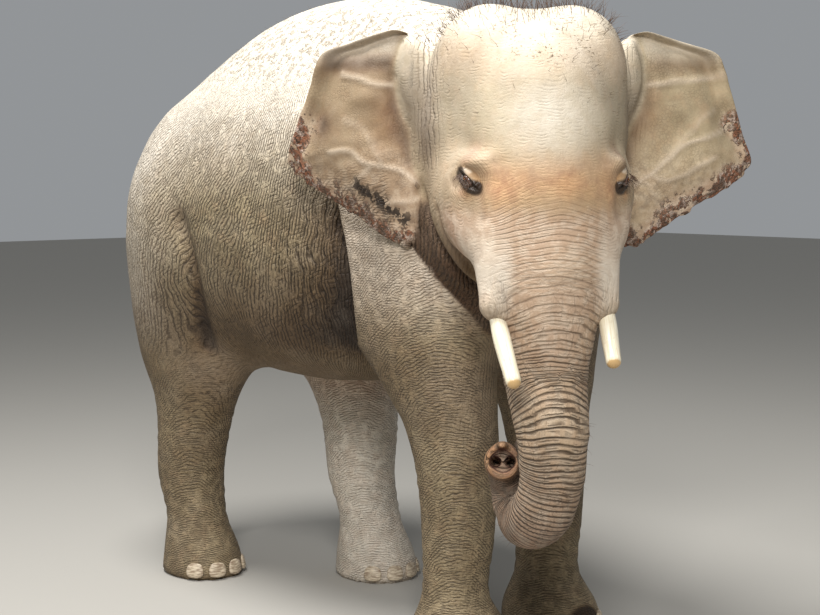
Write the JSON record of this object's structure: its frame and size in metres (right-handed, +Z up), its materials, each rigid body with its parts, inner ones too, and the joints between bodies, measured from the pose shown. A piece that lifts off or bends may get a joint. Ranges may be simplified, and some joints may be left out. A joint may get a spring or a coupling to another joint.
{
  "type": "asian elephant",
  "caption": "Young bull Asian elephant standing with head turned right, ears spread, short blunt tusks and trunk curled under; a still life-size model.",
  "frame": {"origin": "on the floor, below the middle of the whole model's box", "axes": "+Z up; the animal's body points along -Y, its own left is +X, and its head is turned towards its right"},
  "size_m": [1.3042, 2.9572, 2.3955],
  "materials": {
    "hide": "dry wrinkled skin, dusty on top, matt",
    "ivory": "smooth ivory, worn yellow at the blunt tips",
    "horn": "pale ridged nail, scuffed and dusty",
    "eye": "wet brown eye, polished",
    "hair": "coarse dark wiry hair"
  },
  "bodies": {
    "root": {"torso": "hide", "neck": "hide", "head": "hide", "lower_jaw": "hide", "trunk_1": "hide", "trunk_2": "hide", "trunk_3": "hide", "trunk_4": "hide", "trunk_5": "hide", "foreleg_right": "hide", "forefoot_right": "hide", "foreleg_left": "hide", "forefoot_left": "hide", "hindleg_right": "hide", "hindfoot_right": "hide", "hindleg_left": "hide", "hindfoot_left": "hide", "tail_upper": "hide", "tail_lower": "hide", "ear_right": "hide", "ear_left": "hide", "tail_tuft": "hair", "nail_fore_right_1": "horn", "nail_fore_right_2": "horn", "nail_fore_right_3": "horn", "nail_fore_right_4": "horn", "nail_fore_right_5": "horn", "nail_fore_left_1": "horn", "nail_fore_left_2": "horn", "nail_fore_left_3": "horn", "nail_fore_left_4": "horn", "nail_fore_left_5": "horn", "nail_hind_right_1": "horn", "nail_hind_right_2": "horn", "nail_hind_right_3": "horn", "nail_hind_right_4": "horn", "nail_hind_left_1": "horn", "nail_hind_left_2": "horn", "nail_hind_left_3": "horn", "nail_hind_left_4": "horn", "eye_right": "eye", "eye_left": "eye", "tusk_right": "ivory", "tusk_left": "ivory"}
  },
  "joints": []
}
